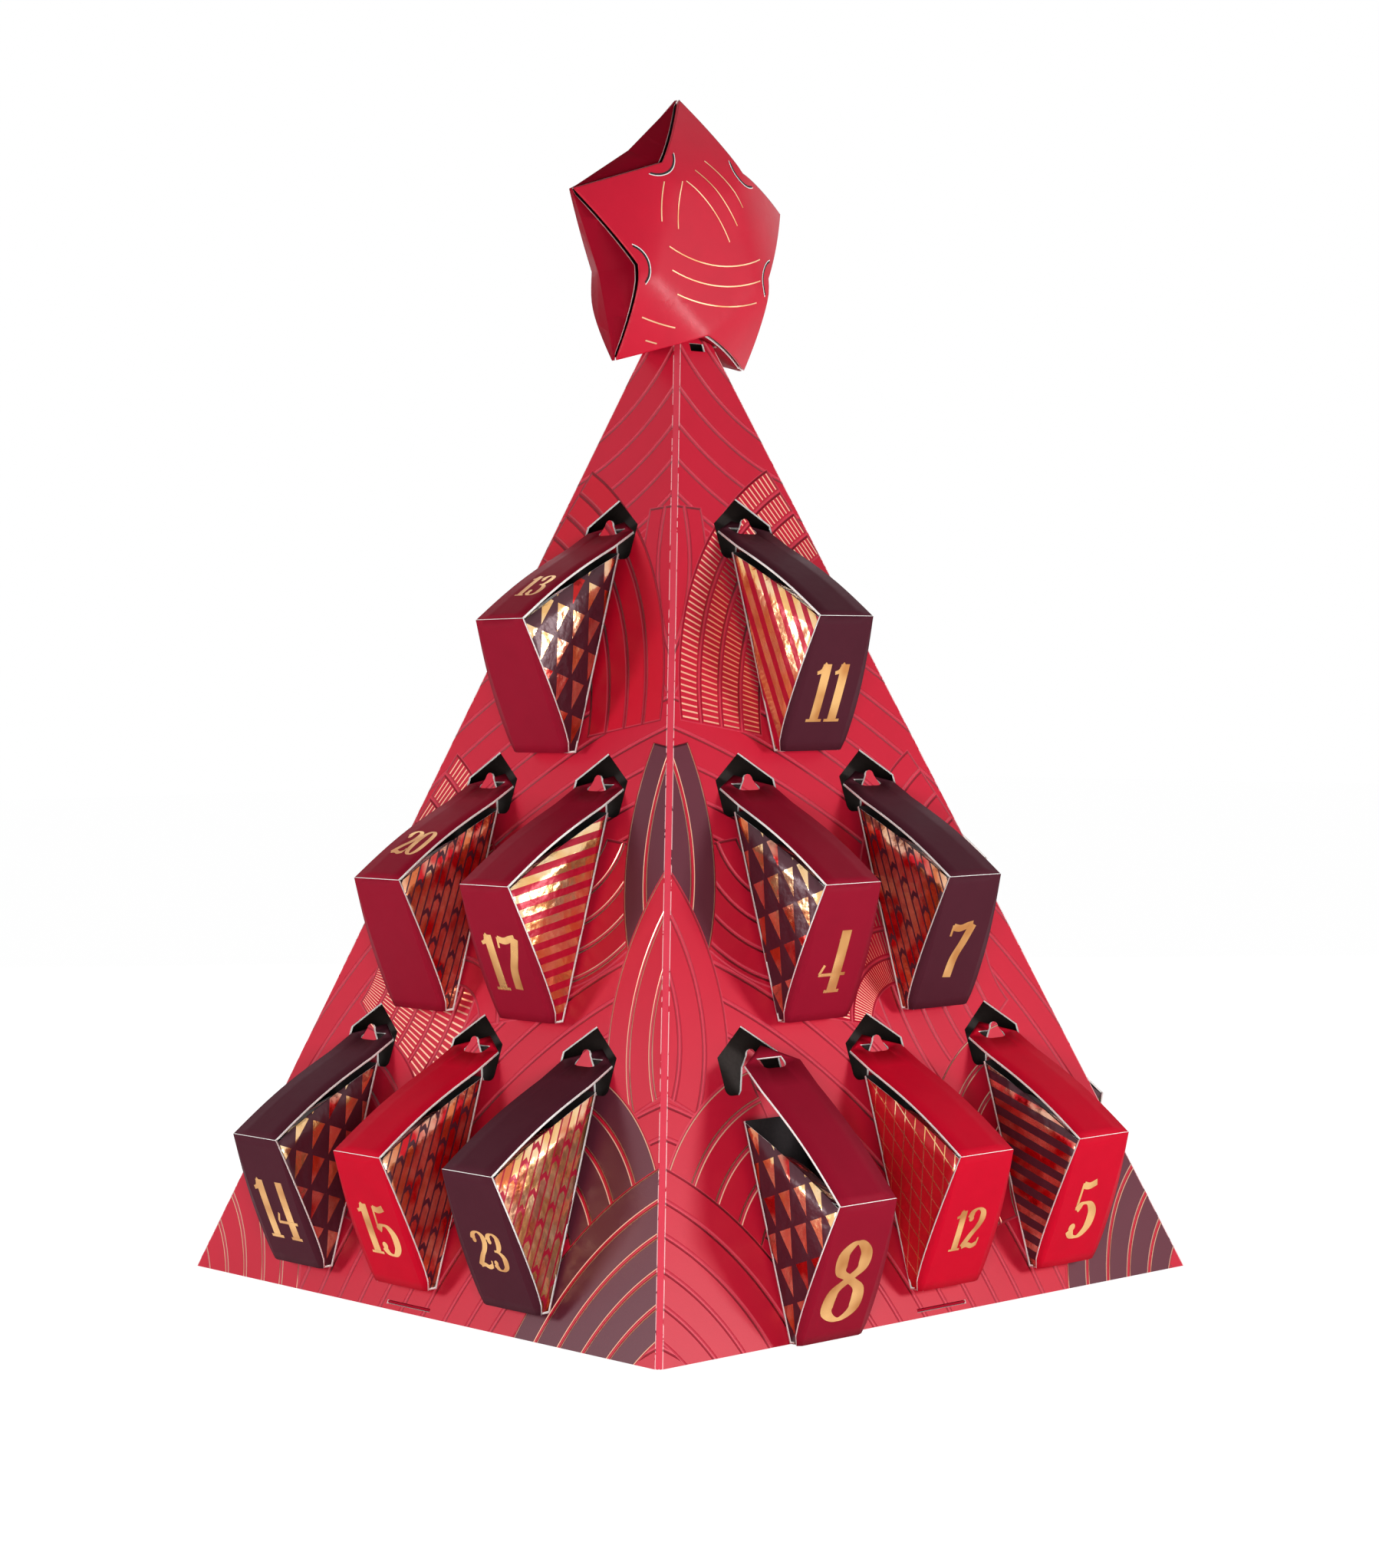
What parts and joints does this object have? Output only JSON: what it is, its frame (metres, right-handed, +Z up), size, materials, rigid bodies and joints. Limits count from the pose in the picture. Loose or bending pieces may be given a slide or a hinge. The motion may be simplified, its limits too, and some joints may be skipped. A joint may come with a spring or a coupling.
{
  "type": "advent calendar",
  "caption": "Four-sided card tree for a table, with numbered hinged gift boxes that hook onto tongues in its windows and a puffed five-point star on the tip.",
  "frame": {"origin": "middle of the tree's foot, on the table", "axes": "+Z up to the star; +X out of the face that carries the loose box, the way the star faces; +Y to the right seen from outside that face"},
  "size_m": [0.375, 0.3708, 0.528],
  "materials": {
    "crimson_card": "satin",
    "plum_card": "satin",
    "burgundy_card": "satin",
    "bright_red_card": "satin",
    "dark_liner": "matte"
  },
  "bodies": {
    "tree": {"face_right": "crimson_card", "face_back_right": "crimson_card", "face_back_left": "crimson_card", "face_left": "crimson_card", "base_panel": "dark_liner"},
    "star": {"star_front": "crimson_card", "star_back": "crimson_card"},
    "box_01": {"carton_01": "plum_card"},
    "boxlid_01": {"lid_01": "plum_card"},
    "box_02": {"carton_02": "burgundy_card"},
    "boxlid_02": {"lid_02": "burgundy_card"},
    "box_03": {"carton_03": "burgundy_card"},
    "boxlid_03": {"lid_03": "burgundy_card"},
    "box_04": {"carton_04": "burgundy_card"},
    "boxlid_04": {"lid_04": "burgundy_card"},
    "box_05": {"carton_05": "plum_card"},
    "boxlid_05": {"lid_05": "plum_card"},
    "box_06": {"carton_06": "burgundy_card"},
    "boxlid_06": {"lid_06": "burgundy_card"},
    "box_07": {"carton_07": "plum_card"},
    "boxlid_07": {"lid_07": "plum_card"},
    "box_08": {"carton_08": "burgundy_card"},
    "boxlid_08": {"lid_08": "burgundy_card"},
    "box_09": {"carton_09": "plum_card"},
    "boxlid_09": {"lid_09": "plum_card"},
    "box_10": {"carton_10": "bright_red_card"},
    "boxlid_10": {"lid_10": "bright_red_card"},
    "box_11": {"carton_11": "plum_card"},
    "boxlid_11": {"lid_11": "plum_card"},
    "box_12": {"carton_12": "bright_red_card"},
    "boxlid_12": {"lid_12": "bright_red_card"},
    "box_13": {"carton_13": "burgundy_card"},
    "boxlid_13": {"lid_13": "burgundy_card"},
    "box_14": {"carton_14": "plum_card"},
    "boxlid_14": {"lid_14": "plum_card"},
    "box_15": {"carton_15": "bright_red_card"},
    "boxlid_15": {"lid_15": "bright_red_card"},
    "box_16": {"carton_16": "burgundy_card"},
    "boxlid_16": {"lid_16": "burgundy_card"},
    "box_17": {"carton_17": "burgundy_card"},
    "boxlid_17": {"lid_17": "burgundy_card"},
    "box_18": {"carton_18": "bright_red_card"},
    "boxlid_18": {"lid_18": "bright_red_card"},
    "box_19": {"carton_19": "plum_card"},
    "boxlid_19": {"lid_19": "plum_card"},
    "box_20": {"carton_20": "burgundy_card"},
    "boxlid_20": {"lid_20": "burgundy_card"},
    "box_21": {"carton_21": "plum_card"},
    "boxlid_21": {"lid_21": "plum_card"},
    "box_22": {"carton_22": "bright_red_card"},
    "boxlid_22": {"lid_22": "bright_red_card"},
    "box_23": {"carton_23": "plum_card"},
    "boxlid_23": {"lid_23": "plum_card"},
    "box_24": {"carton_24": "bright_red_card"},
    "boxlid_24": {"lid_24": "bright_red_card"}
  },
  "joints": [
    {"name": "star_lift", "type": "slide", "parent": "tree", "child": "star", "axis": [0, 0, 1], "range_m": [0, 0.06]},
    {"name": "box_01_unhook", "type": "slide", "parent": "tree", "child": "box_01", "axis": [0, 0.2491, 0.9685], "range_m": [0, 0.05]},
    {"name": "box_01_lid", "type": "hinge", "parent": "box_01", "child": "boxlid_01", "pos_m": [0.037, 0.14579, 0.18174], "axis": [-1, 0, 0], "range_deg": [0, 105]},
    {"name": "box_02_unhook", "type": "slide", "parent": "tree", "child": "box_02", "axis": [-0.2491, 0, 0.9685], "range_m": [0, 0.05]},
    {"name": "box_02_lid", "type": "hinge", "parent": "box_02", "child": "boxlid_02", "pos_m": [-0.18549, 0.074, 0.07009], "axis": [0, -1, 0], "range_deg": [0, 105]},
    {"name": "box_03_unhook", "type": "slide", "parent": "tree", "child": "box_03", "axis": [0, 0.2491, 0.9685], "range_m": [0, 0.05]},
    {"name": "box_03_lid", "type": "hinge", "parent": "box_03", "child": "boxlid_03", "pos_m": [-0.074, 0.18549, 0.07009], "axis": [-1, 0, 0], "range_deg": [0, 105]},
    {"name": "box_04_unhook", "type": "slide", "parent": "tree", "child": "box_04", "axis": [0.2491, 0, 0.9685], "range_m": [0, 0.05]},
    {"name": "box_04_lid", "type": "hinge", "parent": "box_04", "child": "boxlid_04", "pos_m": [0.14579, -0.037, 0.18174], "axis": [0, 1, 0], "range_deg": [0, 105]},
    {"name": "box_05_unhook", "type": "slide", "parent": "tree", "child": "box_05", "axis": [0.2491, 0, 0.9685], "range_m": [0, 0.05]},
    {"name": "box_05_lid", "type": "hinge", "parent": "box_05", "child": "boxlid_05", "pos_m": [0.18549, 0.074, 0.07009], "axis": [0, 1, 0], "range_deg": [0, 105]},
    {"name": "box_06_unhook", "type": "slide", "parent": "tree", "child": "box_06", "axis": [-0.2491, 0, 0.9685], "range_m": [0, 0.05]},
    {"name": "box_06_lid", "type": "hinge", "parent": "box_06", "child": "boxlid_06", "pos_m": [-0.10609, 0, 0.29339], "axis": [0, -1, 0], "range_deg": [0, 105]},
    {"name": "box_07_unhook", "type": "slide", "parent": "tree", "child": "box_07", "axis": [0.2491, 0, 0.9685], "range_m": [0, 0.05]},
    {"name": "box_07_lid", "type": "hinge", "parent": "box_07", "child": "boxlid_07", "pos_m": [0.14579, 0.037, 0.18174], "axis": [0, 1, 0], "range_deg": [0, 105]},
    {"name": "box_08_unhook", "type": "slide", "parent": "tree", "child": "box_08", "axis": [0.2491, 0, 0.9685], "range_m": [0, 0.05]},
    {"name": "box_08_lid", "type": "hinge", "parent": "box_08", "child": "boxlid_08", "pos_m": [0.18962, -0.074, 0.05848], "axis": [0, 1, 0], "range_deg": [0, 95]},
    {"name": "box_09_unhook", "type": "slide", "parent": "tree", "child": "box_09", "axis": [0, 0.2491, 0.9685], "range_m": [0, 0.05]},
    {"name": "box_09_lid", "type": "hinge", "parent": "box_09", "child": "boxlid_09", "pos_m": [0.074, 0.18549, 0.07009], "axis": [-1, 0, 0], "range_deg": [0, 105]},
    {"name": "box_10_unhook", "type": "slide", "parent": "tree", "child": "box_10", "axis": [-0.2491, 0, 0.9685], "range_m": [0, 0.05]},
    {"name": "box_10_lid", "type": "hinge", "parent": "box_10", "child": "boxlid_10", "pos_m": [-0.14579, -0.037, 0.18174], "axis": [0, -1, 0], "range_deg": [0, 105]},
    {"name": "box_11_unhook", "type": "slide", "parent": "tree", "child": "box_11", "axis": [0.2491, 0, 0.9685], "range_m": [0, 0.05]},
    {"name": "box_11_lid", "type": "hinge", "parent": "box_11", "child": "boxlid_11", "pos_m": [0.10609, 0, 0.29339], "axis": [0, 1, 0], "range_deg": [0, 105]},
    {"name": "box_12_unhook", "type": "slide", "parent": "tree", "child": "box_12", "axis": [0.2491, 0, 0.9685], "range_m": [0, 0.05]},
    {"name": "box_12_lid", "type": "hinge", "parent": "box_12", "child": "boxlid_12", "pos_m": [0.18549, 0, 0.07009], "axis": [0, 1, 0], "range_deg": [0, 105]},
    {"name": "box_13_unhook", "type": "slide", "parent": "tree", "child": "box_13", "axis": [0, -0.2491, 0.9685], "range_m": [0, 0.05]},
    {"name": "box_13_lid", "type": "hinge", "parent": "box_13", "child": "boxlid_13", "pos_m": [0, -0.10609, 0.29339], "axis": [1, 0, 0], "range_deg": [0, 105]},
    {"name": "box_14_unhook", "type": "slide", "parent": "tree", "child": "box_14", "axis": [0, -0.2491, 0.9685], "range_m": [0, 0.05]},
    {"name": "box_14_lid", "type": "hinge", "parent": "box_14", "child": "boxlid_14", "pos_m": [-0.074, -0.18549, 0.07009], "axis": [1, 0, 0], "range_deg": [0, 105]},
    {"name": "box_15_unhook", "type": "slide", "parent": "tree", "child": "box_15", "axis": [0, -0.2491, 0.9685], "range_m": [0, 0.05]},
    {"name": "box_15_lid", "type": "hinge", "parent": "box_15", "child": "boxlid_15", "pos_m": [0, -0.18549, 0.07009], "axis": [1, 0, 0], "range_deg": [0, 105]},
    {"name": "box_16_unhook", "type": "slide", "parent": "tree", "child": "box_16", "axis": [0, 0.2491, 0.9685], "range_m": [0, 0.05]},
    {"name": "box_16_lid", "type": "hinge", "parent": "box_16", "child": "boxlid_16", "pos_m": [-0.037, 0.14579, 0.18174], "axis": [-1, 0, 0], "range_deg": [0, 105]},
    {"name": "box_17_unhook", "type": "slide", "parent": "tree", "child": "box_17", "axis": [0, -0.2491, 0.9685], "range_m": [0, 0.05]},
    {"name": "box_17_lid", "type": "hinge", "parent": "box_17", "child": "boxlid_17", "pos_m": [0.037, -0.14579, 0.18174], "axis": [1, 0, 0], "range_deg": [0, 105]},
    {"name": "box_18_unhook", "type": "slide", "parent": "tree", "child": "box_18", "axis": [-0.2491, 0, 0.9685], "range_m": [0, 0.05]},
    {"name": "box_18_lid", "type": "hinge", "parent": "box_18", "child": "boxlid_18", "pos_m": [-0.18549, -0.074, 0.07009], "axis": [0, -1, 0], "range_deg": [0, 105]},
    {"name": "box_19_unhook", "type": "slide", "parent": "tree", "child": "box_19", "axis": [-0.2491, 0, 0.9685], "range_m": [0, 0.05]},
    {"name": "box_19_lid", "type": "hinge", "parent": "box_19", "child": "boxlid_19", "pos_m": [-0.14579, 0.037, 0.18174], "axis": [0, -1, 0], "range_deg": [0, 105]},
    {"name": "box_20_unhook", "type": "slide", "parent": "tree", "child": "box_20", "axis": [0, -0.2491, 0.9685], "range_m": [0, 0.05]},
    {"name": "box_20_lid", "type": "hinge", "parent": "box_20", "child": "boxlid_20", "pos_m": [-0.037, -0.14579, 0.18174], "axis": [1, 0, 0], "range_deg": [0, 105]},
    {"name": "box_21_unhook", "type": "slide", "parent": "tree", "child": "box_21", "axis": [-0.2491, 0, 0.9685], "range_m": [0, 0.05]},
    {"name": "box_21_lid", "type": "hinge", "parent": "box_21", "child": "boxlid_21", "pos_m": [-0.18549, 0, 0.07009], "axis": [0, -1, 0], "range_deg": [0, 105]},
    {"name": "box_22_unhook", "type": "slide", "parent": "tree", "child": "box_22", "axis": [0, 0.2491, 0.9685], "range_m": [0, 0.05]},
    {"name": "box_22_lid", "type": "hinge", "parent": "box_22", "child": "boxlid_22", "pos_m": [0, 0.10609, 0.29339], "axis": [-1, 0, 0], "range_deg": [0, 105]},
    {"name": "box_23_unhook", "type": "slide", "parent": "tree", "child": "box_23", "axis": [0, -0.2491, 0.9685], "range_m": [0, 0.05]},
    {"name": "box_23_lid", "type": "hinge", "parent": "box_23", "child": "boxlid_23", "pos_m": [0.074, -0.18549, 0.07009], "axis": [1, 0, 0], "range_deg": [0, 105]},
    {"name": "box_24_unhook", "type": "slide", "parent": "tree", "child": "box_24", "axis": [0, 0.2491, 0.9685], "range_m": [0, 0.05]},
    {"name": "box_24_lid", "type": "hinge", "parent": "box_24", "child": "boxlid_24", "pos_m": [0, 0.18549, 0.07009], "axis": [-1, 0, 0], "range_deg": [0, 105]}
  ]
}
